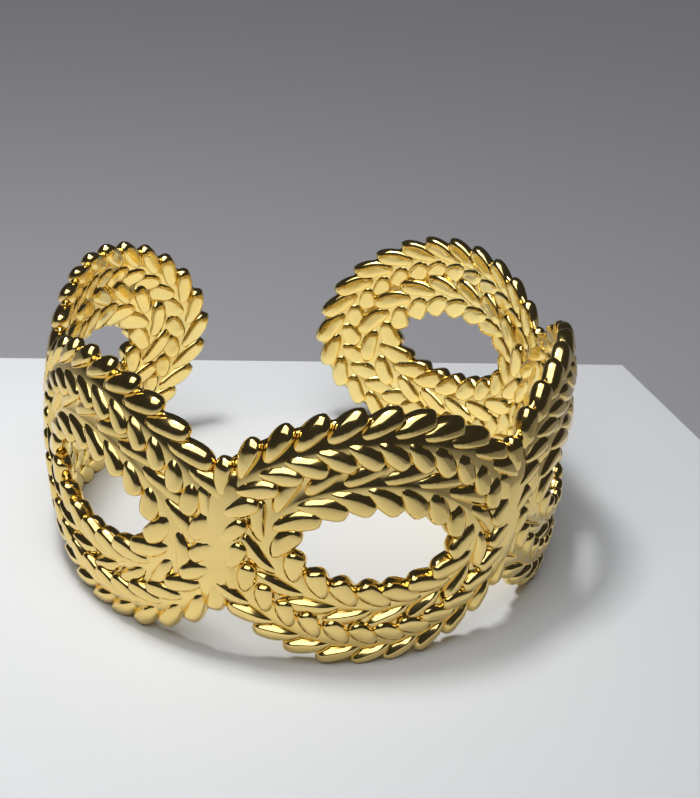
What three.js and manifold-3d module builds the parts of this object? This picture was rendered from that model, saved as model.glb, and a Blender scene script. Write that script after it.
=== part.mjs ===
// An open cuff bracelet: five oval wreaths of braided leaves, side by side in one curved band, as one casting.
// Millimetres, +Z up. The cuff lies on its side: the wrist's axis is vertical, the middle wreath faces -Y
// and the opening is at +Y. The origin is on the floor, under the middle of the cuff.
import * as THREE from "three";
import { mergeVertices } from "three/addons/utils/BufferGeometryUtils.js";
import Module from "manifold-3d";

// The band, as a curve seen from above: a wide front arc and two tighter end arcs, through the metal's middle.
const frontRadius = 29;
const endRadius = 21;

// The wreaths, measured along and across the band.
const wreathCount = 5;
const wreathSpacing = 31.6;
const wreathHalfLength = 18.6;
const wreathHalfHeight = 14.5;
const wreathSquareness = 1.9;
const wreathTilt = THREE.MathUtils.degToRad(-8);
const holeHalfLength = 8.5;
const holeHalfHeight = 4.7;
const holeSquareness = 2;

// The leaves. Each braid has one row of leaves on each side of its middle line, and a wreath has two braids.
const outerBraidLeaves = 28;
const innerBraidLeaves = 16;
const leafSlant = 1.35; // how far a tip lies ahead of its base, in leaf spacings
const tipOverhang = 0.45; // how far a tip's round end stands out past the rim line

// Heights of the outside face above the metal's middle.
const leafCrest = 1.1;
const leafShoulder = 0.75;
const leafEdge = 0.85;
const leafBase = 0.62;
const groundOutside = 0.42;
const rimOutside = 0.35;

// Depths of the inside face below the metal's middle.
const leafBack = 0.85;
const groundInside = 0.5;
const rimInside = 0.3;

// How much the lowest leaf tips are worn flat where the cuff rests.
const wornFlat = 0.35;

const goldTone = new THREE.MeshStandardMaterial({
  color: 0xd9b45a,
  roughness: 0.18,
  metalness: 1,
});

const frontArcLength = (wreathCount - 1) * wreathSpacing; // up to the middles of the end wreaths
const rowCount = 4;
const rowHeight = (wreathHalfHeight - holeHalfHeight) / rowCount;
const lineSteps = 720;
const turn = 2 * Math.PI;

// A power that keeps the sign, for the superellipse.
function signedPower(value, power) {
  return Math.sign(value) * Math.abs(value) ** power;
}

// One closed line between rows of leaves. Row 0 is the wreath's outline and row 4 the edge of its hole.
// The points go clockwise from the top, seen from outside the cuff, with the length walked up to each.
function rowLine(row) {
  const share = row / rowCount;
  const halfLength = THREE.MathUtils.lerp(wreathHalfLength, holeHalfLength, share);
  const halfHeight = THREE.MathUtils.lerp(wreathHalfHeight, holeHalfHeight, share);
  const power = 2 / THREE.MathUtils.lerp(wreathSquareness, holeSquareness, share);
  const points = [];
  const lengths = [0];
  for (let step = 0; step <= lineSteps; step += 1) {
    const angle = (turn * step) / lineSteps;
    const point = new THREE.Vector2(
      halfLength * signedPower(Math.sin(angle), power),
      halfHeight * signedPower(Math.cos(angle), power),
    );
    if (step > 0) {
      lengths.push(lengths[step - 1] + point.distanceTo(points[step - 1]));
    }
    points.push(point);
  }
  return { points, lengths };
}

const rowLines = Array.from({ length: rowCount + 1 }, (_, row) => rowLine(row));

// The point a share of the way round a row line, where 0 is the top and 0.25 the right-hand end.
function pointOnLine(line, share) {
  const total = line.lengths[lineSteps];
  const wanted = (share - Math.floor(share)) * total;
  let low = 0;
  let high = lineSteps;
  while (high - low > 1) {
    const middle = (low + high) >> 1;
    if (line.lengths[middle] <= wanted) {
      low = middle;
    } else {
      high = middle;
    }
  }
  const part = (wanted - line.lengths[low]) / (line.lengths[high] - line.lengths[low]);
  return line.points[low].clone().lerp(line.points[high], part);
}

// A point of the wreath's own plane, at a share of the way round and at a row that may be a fraction,
// and beyond row 0 or row 4 for what stands out past the rims.
function wreathPoint(share, row) {
  const inner = THREE.MathUtils.clamp(Math.floor(row), 0, rowCount - 1);
  const from = pointOnLine(rowLines[inner], share);
  const to = pointOnLine(rowLines[inner + 1], share);
  return from.lerp(to, row - inner);
}

// The band's middle curve at a length from the front, and the curve's heading there.
function bandCurve(length) {
  const side = Math.sign(length) || 1;
  const walked = Math.abs(length);
  const onFront = Math.min(walked, frontArcLength / 2);
  const onEnd = walked - onFront;
  const frontTurn = onFront / frontRadius;
  const heading = frontTurn + onEnd / endRadius;
  const x = frontRadius * Math.sin(frontTurn) + endRadius * (Math.sin(heading) - Math.sin(frontTurn));
  const y =
    frontRadius * (1 - Math.cos(frontTurn)) + endRadius * (Math.cos(frontTurn) - Math.cos(heading));
  return { x: side * x, y, heading: side * heading };
}

// The curve's rearmost point, where it heads straight across the back.
const endTurn = frontArcLength / 2 / frontRadius;
const rearY = frontRadius * (1 - Math.cos(endTurn)) + endRadius * (1 + Math.cos(endTurn));

// The lowest point of a wreath's tilted outline, below its middle.
const outlineDrop = Math.max(
  ...rowLines[0].points.map((p) => -(p.x * Math.sin(wreathTilt) + p.y * Math.cos(wreathTilt))),
);
const wreathMiddleZ = outlineDrop + tipOverhang - wornFlat;

// Places a point of a wreath's plane, at a height outside the metal's middle, on the curved band.
function placeOnBand(point, height, wreathMiddle) {
  const turned = point.clone().rotateAround(new THREE.Vector2(0, 0), wreathTilt);
  const curve = bandCurve(wreathMiddle + turned.x);
  return new THREE.Vector3(
    curve.x + height * Math.sin(curve.heading),
    curve.y - height * Math.cos(curve.heading) - rearY / 2,
    wreathMiddleZ + turned.y,
  );
}

// The two braids: the middle line that the leaves grow from, and how many there are in each row.
const braids = [
  { middleRow: 1, leaves: outerBraidLeaves },
  { middleRow: 3, leaves: innerBraidLeaves },
];

// Where a leaf's points lie: along is from its base to its tip, in rows; back is how far it lies behind the
// leaf's leading edge, in leaf spacings; height is above the metal's middle. A round end on a rim has two
// points and one in the valley between the braids has one, or none on the inside face.
const rimTip = 1 + tipOverhang / rowHeight;
const valleyTip = 0.96;
const outsideFace = {
  points: {
    base: { along: 0, back: 0, height: leafBase },
    edge: { along: 0.6, back: -0.12, height: leafEdge },
    bed: { along: 0.5, back: -0.3, height: groundOutside },
    notch: { along: 0.92, back: 0, height: rimOutside },
    rimTipBehind: { along: rimTip, back: 0.7, height: rimOutside },
    rimTipAhead: { along: rimTip, back: 0.28, height: rimOutside },
    valleyTip: { along: valleyTip, back: 0.42, height: groundOutside },
    shoulder: { along: 0.38, back: 0.45, height: leafShoulder },
    crest: { along: 0.75, back: 0.42, height: leafCrest },
  },
  rimTips: ["rimTipBehind", "rimTipAhead"],
  valleyTips: ["valleyTip"],
};
const insideFace = {
  points: {
    base: { along: 0, back: 0, height: -groundInside },
    notch: { along: 0.92, back: 0, height: -rimInside },
    rimTipBehind: { along: rimTip, back: 0.7, height: -rimInside },
    rimTipAhead: { along: rimTip, back: 0.28, height: -rimInside },
    crest: { along: 0.6, back: 0.45, height: -leafBack },
  },
  rimTips: ["rimTipBehind", "rimTipAhead"],
  valleyTips: [],
};

// A wreath's mesh: a list of vertices and a list of triangles, with each point made once.
function newMesh(wreathMiddle) {
  return { wreathMiddle, vertices: [], triangles: [], known: new Map() };
}

// A leaf's point's share of the way round its wreath.
function roundShare(braid, place, leaf) {
  return (leaf + leafSlant * Math.min(place.along, 1) - place.back) / braid.leaves;
}

// The number of a leaf's named point in the mesh. The side is -1 for the row that grows outwards and 1 for
// the row that grows inwards; both rows share their base points.
function leafPoint(mesh, braid, side, face, name, leaf) {
  const count = braid.leaves;
  const wrapped = ((leaf % count) + count) % count;
  const owner = name === "base" ? 0 : side;
  const key = [braid.middleRow, owner, face === outsideFace, name, wrapped].join();
  if (!mesh.known.has(key)) {
    const place = face.points[name];
    const point = wreathPoint(roundShare(braid, place, wrapped), braid.middleRow + side * place.along);
    mesh.known.set(key, mesh.vertices.length);
    mesh.vertices.push(placeOnBand(point, place.height, mesh.wreathMiddle));
  }
  return mesh.known.get(key);
}

// The points of a leaf's round end, in order round the wreath.
function tipNames(face, braid, side) {
  const onRim = (braid.middleRow + side) % rowCount === 0;
  return onRim ? face.rimTips : face.valleyTips;
}

function addTriangle(mesh, flip, a, b, c) {
  mesh.triangles.push(flip ? [a, c, b] : [a, b, c]);
}

// The outside face of one leaf, and the step from its leading edge down to where the next leaf comes out.
function addLeafOutside(mesh, braid, side, leaf) {
  const at = (name, index) => leafPoint(mesh, braid, side, outsideFace, name, index);
  const add = (a, b, c) => addTriangle(mesh, side > 0, a, b, c);
  const base = at("base", leaf);
  const edge = at("edge", leaf);
  const bed = at("bed", leaf);
  const notch = at("notch", leaf);
  const shoulder = at("shoulder", leaf);
  const crest = at("crest", leaf);
  const baseBehind = at("base", leaf - 1);
  const bedBehind = at("bed", leaf - 1);
  const notchBehind = at("notch", leaf - 1);
  add(baseBehind, base, shoulder);
  add(base, edge, shoulder);
  add(edge, crest, shoulder);
  add(edge, notch, crest);
  const roundEnd = [notchBehind, ...tipNames(outsideFace, braid, side).map((name) => at(name, leaf)), notch];
  for (let index = 1; index < roundEnd.length; index += 1) {
    add(roundEnd[index], roundEnd[index - 1], crest);
  }
  add(notchBehind, bedBehind, crest);
  add(bedBehind, shoulder, crest);
  add(bedBehind, baseBehind, shoulder);
  add(edge, base, bed);
  add(notch, edge, bed);
}

// The inside face of one leaf, a low pillow.
function addLeafInside(mesh, braid, side, leaf) {
  const at = (name, index) => leafPoint(mesh, braid, side, insideFace, name, index);
  const ring = [
    at("notch", leaf - 1),
    at("base", leaf - 1),
    at("base", leaf),
    at("notch", leaf),
    ...tipNames(insideFace, braid, side).toReversed().map((name) => at(name, leaf)),
  ];
  const crest = at("crest", leaf);
  ring.forEach((corner, index) => {
    addTriangle(mesh, side < 0, corner, ring[(index + 1) % ring.length], crest);
  });
}

// The scalloped line of a row's notches and tips, once round from its first notch and back to it, with each
// point's share of the way round.
function tipLine(mesh, braid, side, face) {
  const line = [];
  const addPoint = (name, leaf) => {
    line.push({
      vertex: leafPoint(mesh, braid, side, face, name, leaf),
      share: roundShare(braid, face.points[name], leaf),
    });
  };
  addPoint("notch", 0);
  for (let leaf = 1; leaf <= braid.leaves; leaf += 1) {
    tipNames(face, braid, side).forEach((name) => addPoint(name, leaf));
    addPoint("notch", leaf);
  }
  return line;
}

// A strip of triangles between two closed lines, stepping along whichever line is behind.
function addStrip(mesh, flip, first, second) {
  let a = 0;
  let b = 0;
  while (a < first.length - 1 || b < second.length - 1) {
    const nextA = a < first.length - 1 ? first[a + 1].share : Infinity;
    const nextB = b < second.length - 1 ? second[b + 1].share : Infinity;
    if (nextA <= nextB) {
      addTriangle(mesh, flip, first[a + 1].vertex, first[a].vertex, second[b].vertex);
      a += 1;
    } else {
      addTriangle(mesh, flip, second[b].vertex, second[b + 1].vertex, first[a].vertex);
      b += 1;
    }
  }
}

// One whole wreath, as a closed mesh: leaves on both faces, the valley between the braids on both faces,
// and the walls of the outer rim and of the hole.
function wreathMesh(wreathMiddle) {
  const mesh = newMesh(wreathMiddle);
  for (const braid of braids) {
    for (const side of [-1, 1]) {
      for (let leaf = 0; leaf < braid.leaves; leaf += 1) {
        addLeafOutside(mesh, braid, side, leaf);
        addLeafInside(mesh, braid, side, leaf);
      }
    }
  }
  const [outer, inner] = braids;
  for (const face of [outsideFace, insideFace]) {
    addStrip(mesh, face === insideFace, tipLine(mesh, outer, 1, face), tipLine(mesh, inner, -1, face));
  }
  addStrip(mesh, false, tipLine(mesh, outer, -1, insideFace), tipLine(mesh, outer, -1, outsideFace));
  addStrip(mesh, false, tipLine(mesh, inner, 1, outsideFace), tipLine(mesh, inner, 1, insideFace));
  return mesh;
}

const wasm = await Module();
wasm.setup();

function solidFromArrays(positions, triangles) {
  return new wasm.Manifold(
    new wasm.Mesh({
      numProp: 3,
      vertProperties: new Float32Array(positions),
      triVerts: new Uint32Array(triangles),
    }),
  );
}

function solidFromGeometry(geometry) {
  geometry.deleteAttribute("normal");
  geometry.deleteAttribute("uv");
  const merged = mergeVertices(geometry);
  return solidFromArrays(merged.attributes.position.array, merged.index.array);
}

// The wreaths, spaced evenly and centred on the front, joined where they overlap.
function cuffSolid() {
  let cuff = null;
  for (let index = 0; index < wreathCount; index += 1) {
    const wreathMiddle = (index - (wreathCount - 1) / 2) * wreathSpacing;
    const mesh = wreathMesh(wreathMiddle);
    const positions = mesh.vertices.flatMap((vertex) => vertex.toArray());
    const wreath = solidFromArrays(positions, mesh.triangles.flat());
    cuff = cuff ? cuff.add(wreath) : wreath;
  }
  return cuff;
}

// The block below the floor that takes the worn flats off the lowest tips.
function floorBlock() {
  const size = 4 * (frontRadius + wreathHalfLength);
  const depth = wreathHalfHeight;
  const block = new THREE.BoxGeometry(size, size, depth);
  block.translate(0, 0, -depth / 2);
  return solidFromGeometry(block);
}

function geometryFromSolid(solid) {
  const mesh = solid.getMesh();
  const geometry = new THREE.BufferGeometry();
  geometry.setAttribute("position", new THREE.BufferAttribute(mesh.vertProperties, mesh.numProp));
  geometry.setIndex(new THREE.BufferAttribute(mesh.triVerts, 1));
  geometry.computeVertexNormals();
  return geometry;
}

const cuff = new THREE.Mesh(geometryFromSolid(cuffSolid().subtract(floorBlock())), goldTone);
cuff.name = "cuff";

const bracelet = new THREE.Group();
bracelet.add(cuff);

export default bracelet;
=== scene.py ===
# Looks of the open cuff bracelet: five oval wreaths of braided leaves, cast in one piece, gold-toned and polished.
# Metres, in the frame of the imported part: the wrist's axis is vertical and the middle wreath faces -Y.
import math
import random

import bpy
import numpy as np
from mathutils import Matrix, Vector


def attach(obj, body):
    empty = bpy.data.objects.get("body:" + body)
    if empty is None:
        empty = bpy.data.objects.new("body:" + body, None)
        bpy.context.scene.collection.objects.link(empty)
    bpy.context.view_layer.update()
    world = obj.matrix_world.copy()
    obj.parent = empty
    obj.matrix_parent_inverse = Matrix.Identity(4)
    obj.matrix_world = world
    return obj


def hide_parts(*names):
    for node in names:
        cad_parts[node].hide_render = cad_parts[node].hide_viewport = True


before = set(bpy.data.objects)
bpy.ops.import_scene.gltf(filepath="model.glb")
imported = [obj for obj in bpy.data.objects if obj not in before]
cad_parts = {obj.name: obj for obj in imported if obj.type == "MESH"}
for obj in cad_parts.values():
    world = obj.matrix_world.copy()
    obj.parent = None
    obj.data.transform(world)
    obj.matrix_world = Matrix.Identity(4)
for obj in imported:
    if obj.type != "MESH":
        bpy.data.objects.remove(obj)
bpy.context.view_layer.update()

MM = 0.001

# The band and the wreaths, in millimetres, with the solid's sizes, but for two: its half height is 0.2 more,
# and its tips stand out 0.45 past the rim lines, where the rounder tips here stand out OVERHANG.
FRONT_RADIUS = 29.0
END_RADIUS = 21.0
WREATHS = 5
SPACING = 31.6
HALF_LENGTH = 18.6
HALF_HEIGHT = 14.3
SQUARENESS = 1.9
TILT = math.radians(-8)
HOLE_HALF_LENGTH = 8.5
HOLE_HALF_HEIGHT = 4.7
HOLE_SQUARENESS = 2.0
BRAIDS = [(1, 28), (3, 16)]  # the middle row line of each braid, and the leaves in each of its two rows
SLANT = 1.35
SLANT_REACH = 1.04  # how many rows from its base a leaf has moved on by the whole slant
OVERHANG = 0.3
TIP_STANDS_OUT = 0.45
WORN_FLAT = 0.35
ROWS = 4
ROW_HEIGHT = (HALF_HEIGHT - HOLE_HALF_HEIGHT) / ROWS
LINE_STEPS = 720

# The leaves. Outside, each is a pillow with a pointed base, round shoulders there, a flatter face further on
# and a round tip. Inside, it is a flat lens with a small bevel and a shallow dish. Side -1 is the row that
# grows outwards from its braid's middle line and side 1 the row that grows towards the wreath's hole.
CREST = 1.25
EDGE = 0.1
ROLL = 0.12
RAMP = {-1: 0.46, 1: 0.32}
ROUND_TIP = {-1: 0.22, 1: 0.14}
TIP_POWER = 2.6
BACK_RIM = 0.9
INSIDE_ROLL = 0.07
INSIDE_END_POWER = 4
INSIDE_SIDE_POWER = 5
INSIDE_BEVEL = 0.4
DISH = 0.15
DISH_HALF_WIDTH = 0.7
DISH_STARTS = (0.15, 0.45)
DISH_ENDS = (0.7, 0.92)
WIDTH = {-1: 1.4, 1: 1.46}
INSIDE_WIDTH = {-1: 1.5, 1: 1.75}
RIM_WIDENING = 1.06
BASE_ALONG = {-1: 0.0, 1: 0.03}
INSIDE_BASE = {-1: 0.06, 1: 0.06}
VALLEY_REACH = 1.07
INSIDE_RIM_REACH = 1.1
INSIDE_VALLEY_REACH = 0.98
BASE_POINT = {-1: 0.72, 1: 0.6}  # a larger number is a longer, finer point
RIM_TIP_POINT = 0.32
VALLEY_TIP_POINT = 0.38
INSIDE_BASE_POINT = {-1: 0.5, 1: 0.55}
INSIDE_TIP_POINT = 0.36
ROW_SHIFT = {-1: 0.0, 1: 0.5}
STATIONS = 13
UNEVENNESS = 0.03  # of each leaf's place, height and width

# Across a leaf, from its leading edge at 1 to its trailing edge at -1, and how far the outside lies below the
# crest there, near the base and further on. The one passes into the other between the FLAT_STARTS.
OUTSIDE_W = [1.0, 0.92, 0.74, 0.55, 0.47, 0.37, -0.25, -0.66, -0.9, -1.0]
ROUND_DROP = [1.1, 0.72, 0.44, 0.24, 0.17, 0.1, 0.1, 0.32, 0.6, 1.1]
FLAT_DROP = {-1: [1.1, 0.72, 0.45, 0.16, 0.06, 0.02, 0.07, 0.25, 0.5, 1.1],
             1: [1.1, 0.66, 0.4, 0.22, 0.16, 0.1, 0.0, 0.05, 0.25, 1.1]}
FLAT_STARTS = (0.2, 0.5)
INSIDE_W = [-0.95, -0.8, -0.35, 0.35, 0.8, 0.95]

# Each braid leans: it stands this much higher for each row towards the wreath's hole.
BRAID_LEAN = 0.2
LEAF_LEAN_REACH = 1.1

# The band bulges gently outwards between its rims: the radius of that curve, and its rise at mid-height.
BULGE_RADIUS = 110.0
BULGE_RISE = HALF_HEIGHT ** 2 / (6 * BULGE_RADIUS)

# The ring of metal under the leaves: its section's rows and heights, round from the rim.
BED_STEPS = 120
BED_SECTION = [
    (-0.02, 0.1), (0.2, 0.34), (0.65, 0.58), (0.9, 0.78), (1.3, 0.82), (1.6, 0.74), (2.0, 0.62), (2.3, 0.64),
    (2.65, 0.58), (2.9, 0.78), (3.3, 0.82), (3.6, 0.5), (3.96, 0.1), (3.8, -0.14), (3.3, -0.56), (3.0, -0.62),
    (2.7, -0.58), (2.25, -0.45), (2.0, -0.4), (1.75, -0.45), (1.3, -0.56), (1.0, -0.62), (0.7, -0.58),
    (0.15, -0.2),
]

# The web of metal at each join of two wreaths, and its rings as shares of its size.
JOIN_STEPS = 28
JOIN_HALF_LENGTH = 2.6
JOIN_HALF_HEIGHT = 8.2
JOIN_TOP = 1.2
JOIN_BACK = -0.78
JOIN_RINGS = ((JOIN_TOP, (0.3, 0.6, 0.8, 0.93, 1.0)), (JOIN_BACK, (0.93, 0.8, 0.6, 0.3)))

# The finish: the darker and the lighter colour of its clouding, and its fine wear. It comes in two copies of one
# gold: the outside one darker, as painted shade, and the inside one lighter, as a painted sunlit sheen.
OUTSIDE_GOLD_PAINTED_SHADE = ((0.84, 0.625, 0.22), (0.92, 0.69, 0.26))
INSIDE_GOLD_PAINTED_SHEEN = ((1.0, 0.76, 0.27), (1.0, 0.81, 0.33))
PAINTED_SHEEN_FACING = -0.2  # a face that looks away from the wrist's axis less than this is an inside one and takes the painted sheen
CLOUD_SCALE = 140
CLOUD_DETAIL = 4
WEAR_SCALE = 900
WEAR_DETAIL = 6
ROUGHNESS = (0.09, 0.17)
DENT_STRENGTH = 0.12
DENT_DEPTH = 0.0001

# The photograph's viewpoint, in millimetres and radians, and its focal length in pixels of its frame.
FRAME_WIDTH, FRAME_HEIGHT = 700, 798
EYE = (-39.08, -141.30, 89.83)
YAW, PITCH, CAMERA_ROLL, FOCAL = 0.2987, -0.4577, 0.0772, 1407.3

# The floor's corners as pixels of the frame, and its lengths past them in metres.
REAR_LEFT, REAR_RIGHT, SIDE_RIGHT = (0, 358), (622, 365), (700, 440)
FLOOR_WIDTH = 0.9
FLOOR_DEPTH_LEFT, FLOOR_DEPTH_RIGHT = 1.0, 0.75
BACKDROP_SIZE = 1.6
BACKDROP_NEAR = 1.4
BACKDROP_LEVEL = -0.0006


def lerp(a, b, t):
    return a + (b - a) * t


def signed_power(v, p):
    return np.sign(v) * np.abs(v) ** p


def smooth(a, b, x):
    t = np.clip((x - a) / (b - a), 0, 1)
    return t * t * (3 - 2 * t)


def row_line(row):
    """A closed line between rows of leaves, clockwise from the top, and the length walked up to each point."""
    share = row / ROWS
    a = lerp(HALF_LENGTH, HOLE_HALF_LENGTH, share)
    b = lerp(HALF_HEIGHT, HOLE_HALF_HEIGHT, share)
    p = 2 / lerp(SQUARENESS, HOLE_SQUARENESS, share)
    t = np.linspace(0, 2 * math.pi, LINE_STEPS + 1)
    x, y = a * signed_power(np.sin(t), p), b * signed_power(np.cos(t), p)
    walked = np.concatenate([[0], np.cumsum(np.hypot(np.diff(x), np.diff(y)))])
    return x, y, walked


LINES = [row_line(row) for row in range(ROWS + 1)]


def on_line(row, share):
    x, y, walked = LINES[row]
    at = (share % 1.0) * walked[-1]
    return np.stack([np.interp(at, walked, x), np.interp(at, walked, y)], -1)


def wreath_point(share, row):
    """A point of the wreath's own plane, at a share of the way round and at a row that may be a fraction."""
    share, row = np.broadcast_arrays(np.asarray(share, float), np.asarray(row, float))
    inner = np.clip(np.floor(row), 0, ROWS - 1).astype(int)
    out = np.zeros(share.shape + (2,))
    for k in range(ROWS):
        here = inner == k
        if here.any():
            t = (row[here] - k)[:, None]
            out[here] = lerp(on_line(k, share[here]), on_line(k + 1, share[here]), t)
    return out


ARC = (WREATHS - 1) * SPACING
END_TURN = ARC / 2 / FRONT_RADIUS
REAR = FRONT_RADIUS * (1 - math.cos(END_TURN)) + END_RADIUS * (1 + math.cos(END_TURN))
DROP = float(np.max(-(LINES[0][0] * math.sin(TILT) + LINES[0][1] * math.cos(TILT))))
MIDDLE_Z = DROP + TIP_STANDS_OUT - WORN_FLAT


def lean(row):
    """How far a braid's lean lifts a point at a row, with a short step in the valley between the braids."""
    return BRAID_LEAN * np.interp(row, [-0.5, 1.85, 2.15, 4.5], [-1.5, 0.85, -0.85, 1.5])


def place_on_band(point, height, middle):
    """Points of a wreath's plane, at heights outside the metal's middle, placed on the curved band."""
    x = point[..., 0] * math.cos(TILT) - point[..., 1] * math.sin(TILT)
    z = point[..., 0] * math.sin(TILT) + point[..., 1] * math.cos(TILT)
    height = height + BULGE_RISE - z ** 2 / (2 * BULGE_RADIUS)
    length = middle + x
    side = np.where(length < 0, -1.0, 1.0)
    on_front = np.minimum(np.abs(length), ARC / 2)
    turned = on_front / FRONT_RADIUS
    heading = turned + (np.abs(length) - on_front) / END_RADIUS
    bx = FRONT_RADIUS * np.sin(turned) + END_RADIUS * (np.sin(heading) - np.sin(turned))
    by = FRONT_RADIUS * (1 - np.cos(turned)) + END_RADIUS * (np.cos(turned) - np.cos(heading))
    heading = heading * side
    px = side * bx + height * np.sin(heading)
    py = by - height * np.cos(heading) - REAR / 2
    pz = np.maximum(MIDDLE_Z + z, 0.0)
    return np.stack([px, py, pz], -1)


# A leaf's stations from base to tip, closer together at both ends, and the points round its section.
U = 0.5 - 0.5 * np.cos(np.linspace(0, math.pi, STATIONS + 1))
ACROSS = np.concatenate([OUTSIDE_W, INSIDE_W])
OUTSIDE = np.arange(len(ACROSS)) < len(OUTSIDE_W)
ROUND = len(ACROSS)


def leaf_plan(braid_row, count, side, place, base, reach, broad, base_point, tip_point):
    """A leaf's axis and the vectors from it to its edge, from base to tip."""
    along = lerp(base, reach, U)
    share = (place + SLANT * along / SLANT_REACH) / count
    axis = wreath_point(share, braid_row + side * along)
    tangent = np.gradient(axis, U, axis=0)
    tangent /= np.linalg.norm(tangent, axis=1, keepdims=True)
    across = np.stack([tangent[:, 1], -tangent[:, 0]], -1) * (-side)
    pitch = LINES[braid_row][2][-1] / count
    half = 0.5 * pitch * ROW_HEIGHT / math.hypot(ROW_HEIGHT, SLANT * pitch) * broad
    profile = U ** base_point * np.clip(1 - U, 0, 1) ** tip_point
    width = half * profile / profile.max()
    return axis, across * width[:, None]


def leaf(braid_row, count, side, index):
    """Points of a leaf in the wreath's plane, in rings from base to tip, and their heights."""
    on_rim = (braid_row + side) % ROWS == 0
    jitter = random.Random(index * 977 + count * 31 + side * 7 + braid_row)
    place = index - 0.5 + ROW_SHIFT[side] + jitter.uniform(-UNEVENNESS, UNEVENNESS)
    lift = jitter.uniform(-UNEVENNESS, UNEVENNESS)
    broad = jitter.uniform(1 - UNEVENNESS, 1 + UNEVENNESS)
    outer_axis, outer_across = leaf_plan(
        braid_row, count, side, place, BASE_ALONG[side],
        1 + OVERHANG / ROW_HEIGHT if on_rim else VALLEY_REACH,
        WIDTH[side] * broad * (RIM_WIDENING if on_rim else 1.0), BASE_POINT[side],
        RIM_TIP_POINT if on_rim else VALLEY_TIP_POINT)
    inner_axis, inner_across = leaf_plan(
        braid_row, count, side, place, INSIDE_BASE[side],
        INSIDE_RIM_REACH if on_rim else INSIDE_VALLEY_REACH,
        INSIDE_WIDTH[side] * broad, INSIDE_BASE_POINT[side], INSIDE_TIP_POINT)
    w = ACROSS[None, :, None]
    points = np.where(OUTSIDE[None, :, None], outer_axis[:, None] + outer_across[:, None] * w,
                      inner_axis[:, None] + inner_across[:, None] * w)
    rise = np.clip(U / RAMP[side], 0, 1)
    fall = np.clip((U - 1 + ROUND_TIP[side]) / ROUND_TIP[side], 0, 1)
    end = rise * (2 - rise) * np.sqrt(1 - fall ** TIP_POWER)
    inside_part = [0] * len(INSIDE_W)
    near_base = np.array(ROUND_DROP + inside_part)[None, :]
    further_on = np.array(FLAT_DROP[side] + inside_part)[None, :]
    drop = lerp(near_base, further_on, smooth(*FLAT_STARTS, U)[:, None])
    roof = CREST + lift + ROLL * ACROSS[None, :] - drop
    top = EDGE + np.maximum(roof - EDGE, 0) * end[:, None]
    inner_end = np.clip(1 - np.abs(2 * U - 1) ** INSIDE_END_POWER, 0, 1) ** INSIDE_BEVEL
    pillow = np.clip(1 - np.abs(ACROSS) ** INSIDE_SIDE_POWER, 0, 1) ** INSIDE_BEVEL
    middle = smooth(*DISH_STARTS, U) - smooth(*DISH_ENDS, U)
    dish = DISH * np.clip(1 - (ACROSS / DISH_HALF_WIDTH) ** 2, 0, 1)[None, :] * middle[:, None]
    depth = BACK_RIM - lift + INSIDE_ROLL * ACROSS[None, :]
    bottom = EDGE - (depth + EDGE) * pillow[None, :] * inner_end[:, None] + dish
    leaning = BRAID_LEAN * side * lerp(BASE_ALONG[side], LEAF_LEAN_REACH, U)
    return points, np.where(OUTSIDE[None, :], top, bottom) + leaning[:, None]


def add_leaf(verts, faces, middle, braid_row, count, side, index):
    """A leaf as a closed body: rings of points between a point at its base and one at its tip."""
    points, height = leaf(braid_row, count, side, index)
    placed = place_on_band(points, height, middle)
    first = len(verts)
    verts.append(placed[0].mean(axis=0))
    for ring in placed[1:-1]:
        verts.extend(ring)
    verts.append(placed[-1].mean(axis=0))
    rings = STATIONS - 1
    flip = side > 0

    def face(*corners):
        faces.append(corners[::-1] if flip else corners)

    for j in range(ROUND):
        k = (j + 1) % ROUND
        face(first, first + 1 + j, first + 1 + k)
        for r in range(rings - 1):
            a = first + 1 + r * ROUND
            b = a + ROUND
            face(a + j, b + j, b + k, a + k)
        a = first + 1 + (rings - 1) * ROUND
        face(a + j, first + 1 + rings * ROUND, a + k)


def add_bed(verts, faces, middle):
    """The ring of metal that the leaves stand on, closed, with rounded edges."""
    first = len(verts)
    n = len(BED_SECTION)
    rows = np.array([row for row, height in BED_SECTION])
    heights = np.array([height for row, height in BED_SECTION]) + lean(rows)
    for s in np.arange(BED_STEPS) / BED_STEPS:
        verts.extend(place_on_band(wreath_point(np.full(n, s), rows), heights, middle))
    for i in range(BED_STEPS):
        a, b = first + i * n, first + ((i + 1) % BED_STEPS) * n
        for j in range(n):
            k = (j + 1) % n
            faces.append((a + j, a + k, b + k, b + j))


def add_join(verts, faces, middle):
    """The low web of metal that fills the join of two wreaths, a closed lens."""
    first = len(verts)
    angle = np.linspace(0, 2 * math.pi, JOIN_STEPS, endpoint=False)
    outline = np.stack([JOIN_HALF_LENGTH * np.cos(angle), JOIN_HALF_HEIGHT * np.sin(angle)], -1)
    rings = [(r, EDGE + (level - EDGE) * (1 - r ** 4) ** 0.5) for level, order in JOIN_RINGS for r in order]
    verts.append(place_on_band(np.zeros(2), JOIN_TOP, middle))
    for r, height in rings:
        verts.extend(place_on_band(outline * r, np.full(JOIN_STEPS, height), middle))
    verts.append(place_on_band(np.zeros(2), JOIN_BACK, middle))
    last = len(verts) - 1
    for j in range(JOIN_STEPS):
        k = (j + 1) % JOIN_STEPS
        faces.append((first, first + 1 + j, first + 1 + k))
        for ring in range(len(rings) - 1):
            a = first + 1 + ring * JOIN_STEPS
            faces.append((a + j, a + JOIN_STEPS + j, a + JOIN_STEPS + k, a + k))
        a = first + 1 + (len(rings) - 1) * JOIN_STEPS
        faces.append((a + j, last, a + k))


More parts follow.
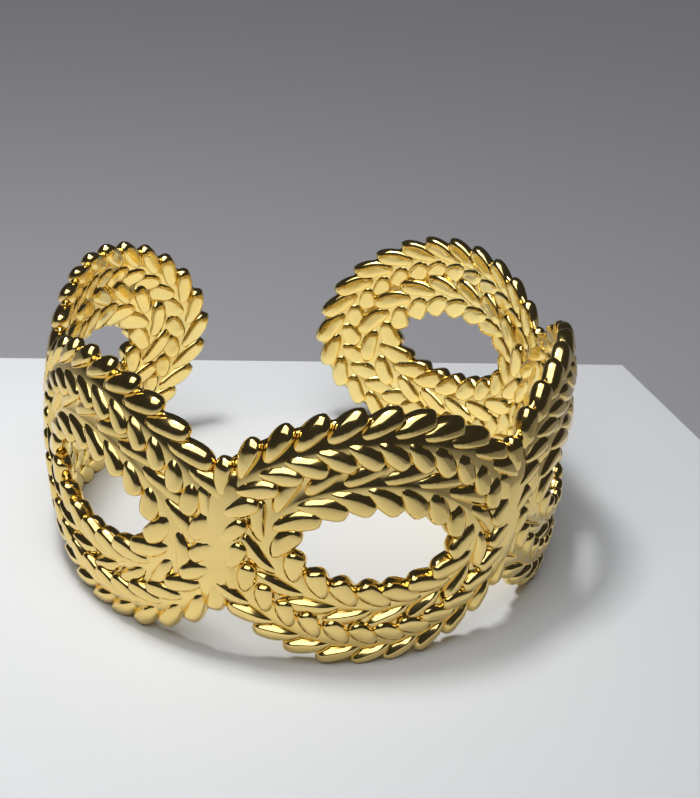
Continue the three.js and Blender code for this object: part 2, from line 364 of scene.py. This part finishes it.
def cuff_mesh():
    verts, faces = [], []
    for number in range(WREATHS):
        middle = (number - (WREATHS - 1) / 2) * SPACING
        add_bed(verts, faces, middle)
        if number > 0:
            add_join(verts, faces, middle - SPACING / 2)
        for braid_row, count in BRAIDS:
            for side in (-1, 1):
                for index in range(count):
                    add_leaf(verts, faces, middle, braid_row, count, side, index)
    mesh = bpy.data.meshes.new("cast_cuff")
    mesh.from_pydata([tuple(v * MM) for v in verts], [], faces)
    mesh.validate()
    mesh.polygons.foreach_set("use_smooth", [True] * len(mesh.polygons))
    mesh.update()
    return mesh


def mark_painted_sheen_inside(mesh):
    """The faces that look towards the wrist take the second material, the lighter gold that paints a sunlit sheen
    on the inside.
    """
    count = len(mesh.polygons)
    centres, normals = np.empty(count * 3), np.empty(count * 3)
    mesh.polygons.foreach_get("center", centres)
    mesh.polygons.foreach_get("normal", normals)
    outwards = centres.reshape(-1, 3)[:, :2]
    outwards = outwards / np.linalg.norm(outwards, axis=1, keepdims=True)
    facing = (normals.reshape(-1, 3)[:, :2] * outwards).sum(axis=1)
    mesh.polygons.foreach_set("material_index", (facing < PAINTED_SHEEN_FACING).astype(np.int32))


def noise(nodes, scale, detail):
    node = nodes.new("ShaderNodeTexNoise")
    node.inputs["Scale"].default_value = scale
    node.inputs["Detail"].default_value = detail
    return node


def gold(name, darker, lighter):
    """Polished gold tone, a little clouded and uneven, with fine wear in its shine."""
    mat = bpy.data.materials.new(name)
    mat.use_nodes = True
    tree = mat.node_tree
    nodes, links = tree.nodes, tree.links
    bsdf = nodes["Principled BSDF"]
    bsdf.inputs["Metallic"].default_value = 1.0
    coords = nodes.new("ShaderNodeTexCoord")
    cloud = noise(nodes, CLOUD_SCALE, CLOUD_DETAIL)
    ramp = nodes.new("ShaderNodeValToRGB")
    ramp.color_ramp.elements[0].position = 0.35
    ramp.color_ramp.elements[0].color = (*darker, 1)
    ramp.color_ramp.elements[1].position = 0.65
    ramp.color_ramp.elements[1].color = (*lighter, 1)
    fine = noise(nodes, WEAR_SCALE, WEAR_DETAIL)
    rough = nodes.new("ShaderNodeMapRange")
    rough.inputs["From Min"].default_value = 0.3
    rough.inputs["From Max"].default_value = 0.7
    rough.inputs["To Min"].default_value = ROUGHNESS[0]
    rough.inputs["To Max"].default_value = ROUGHNESS[1]
    bump = nodes.new("ShaderNodeBump")
    bump.inputs["Strength"].default_value = DENT_STRENGTH
    bump.inputs["Distance"].default_value = DENT_DEPTH
    links.new(coords.outputs["Object"], cloud.inputs["Vector"])
    links.new(coords.outputs["Object"], fine.inputs["Vector"])
    links.new(cloud.outputs["Fac"], ramp.inputs["Fac"])
    links.new(ramp.outputs["Color"], bsdf.inputs["Base Color"])
    links.new(fine.outputs["Fac"], rough.inputs["Value"])
    links.new(rough.outputs["Result"], bsdf.inputs["Roughness"])
    links.new(cloud.outputs["Fac"], bump.inputs["Height"])
    links.new(bump.outputs["Normal"], bsdf.inputs["Normal"])
    return mat


def plain(name, colour, roughness, glow=(0, 0, 0)):
    mat = bpy.data.materials.new(name)
    mat.use_nodes = True
    bsdf = mat.node_tree.nodes["Principled BSDF"]
    bsdf.inputs["Base Color"].default_value = (*colour, 1)
    bsdf.inputs["Roughness"].default_value = roughness
    bsdf.inputs["Emission Color"].default_value = (*glow, 1)
    bsdf.inputs["Emission Strength"].default_value = 1.0
    return mat


def flat_sheet(name, corners, mat):
    mesh = bpy.data.meshes.new(name)
    mesh.from_pydata(corners, [], [(0, 1, 2, 3)])
    mesh.materials.append(mat)
    obj = bpy.data.objects.new(name, mesh)
    bpy.context.collection.objects.link(obj)


def area_light(name, place, towards, size, power, colour, spread=180):
    data = bpy.data.lights.new(name, "AREA")
    data.shape = "RECTANGLE"
    data.size, data.size_y = size
    data.energy = power
    data.color = colour
    data.spread = math.radians(spread)
    obj = bpy.data.objects.new(name, data)
    obj.location = place
    obj.rotation_euler = (Vector(towards) - Vector(place)).to_track_quat("-Z", "Y").to_euler()
    bpy.context.collection.objects.link(obj)


cuff = bpy.data.objects.new("cast_cuff", cuff_mesh())
bpy.context.collection.objects.link(cuff)
# The outside takes the darker gold, as painted shade, and the faces towards the wrist take the lighter gold, as a
# painted sunlit sheen.
cuff.data.materials.append(gold("gold_tone_outside_painted_shade", *OUTSIDE_GOLD_PAINTED_SHADE))
cuff.data.materials.append(gold("gold_tone_inside_painted_sheen", *INSIDE_GOLD_PAINTED_SHEEN))
mark_painted_sheen_inside(cuff.data)
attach(cuff, "root")
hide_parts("cuff")


forward = Vector((math.sin(YAW) * math.cos(PITCH), math.cos(YAW) * math.cos(PITCH), math.sin(PITCH)))
right = Vector((math.cos(YAW), -math.sin(YAW), 0))
up = right.cross(forward)
right_rolled = math.cos(CAMERA_ROLL) * right + math.sin(CAMERA_ROLL) * up
up_rolled = -math.sin(CAMERA_ROLL) * right + math.cos(CAMERA_ROLL) * up
camera_data = bpy.data.cameras.new("camera")
camera_data.lens = FOCAL / FRAME_HEIGHT * camera_data.sensor_width
camera_data.clip_start = 0.005
camera = bpy.data.objects.new("camera", camera_data)
axes = Matrix((right_rolled, up_rolled, -forward)).transposed().to_4x4()
camera.matrix_world = Matrix.Translation(Vector(EYE) * MM) @ axes
bpy.context.collection.objects.link(camera)
bpy.context.scene.camera = camera

bpy.context.scene.view_settings.view_transform = "Standard"


def on_floor(px, py):
    """The floor's point that the camera sees at a pixel of the frame, in metres."""
    across, above = (px - FRAME_WIDTH / 2) / FOCAL, (FRAME_HEIGHT / 2 - py) / FOCAL
    ray = forward + right_rolled * across + up_rolled * above
    walk = -EYE[2] / ray.z
    return Vector(EYE) * MM + ray * (walk * MM)


rear_left, rear_right, side_right = on_floor(*REAR_LEFT), on_floor(*REAR_RIGHT), on_floor(*SIDE_RIGHT)
rear = (rear_right - rear_left).normalized()
edge = (side_right - rear_right).normalized()
far_left = rear_right - rear * FLOOR_WIDTH
flat_sheet("floor", [tuple(rear_right), tuple(far_left), tuple(far_left + edge * FLOOR_DEPTH_LEFT),
                     tuple(rear_right + edge * FLOOR_DEPTH_RIGHT)],
           plain("white_sheet", (0.71, 0.735, 0.77), 0.6))
backdrop_plan = [(-BACKDROP_SIZE, -BACKDROP_NEAR), (BACKDROP_SIZE, -BACKDROP_NEAR),
                 (BACKDROP_SIZE, BACKDROP_SIZE), (-BACKDROP_SIZE, BACKDROP_SIZE)]
flat_sheet("backdrop", [(x, y, BACKDROP_LEVEL) for x, y in backdrop_plan],
           plain("grey_table", (0.2, 0.2, 0.215), 0.7, (0.1, 0.1, 0.11)))

world = bpy.data.worlds.new("studio")
bpy.context.scene.world = world
world.use_nodes = True
world.node_tree.nodes["Background"].inputs["Color"].default_value = (0.03, 0.03, 0.034, 1)
world.node_tree.nodes["Background"].inputs["Strength"].default_value = 1.0

area_light("key", (-0.055, 0.005, 0.24), (-0.035, 0.03, 0), (0.045, 0.045), 0.115, (1.0, 0.98, 0.94), 100)
area_light("overhead", (-0.13, -0.18, 0.55), (0, -0.02, 0), (0.5, 0.62), 2.3, (1.0, 1.0, 1.0))
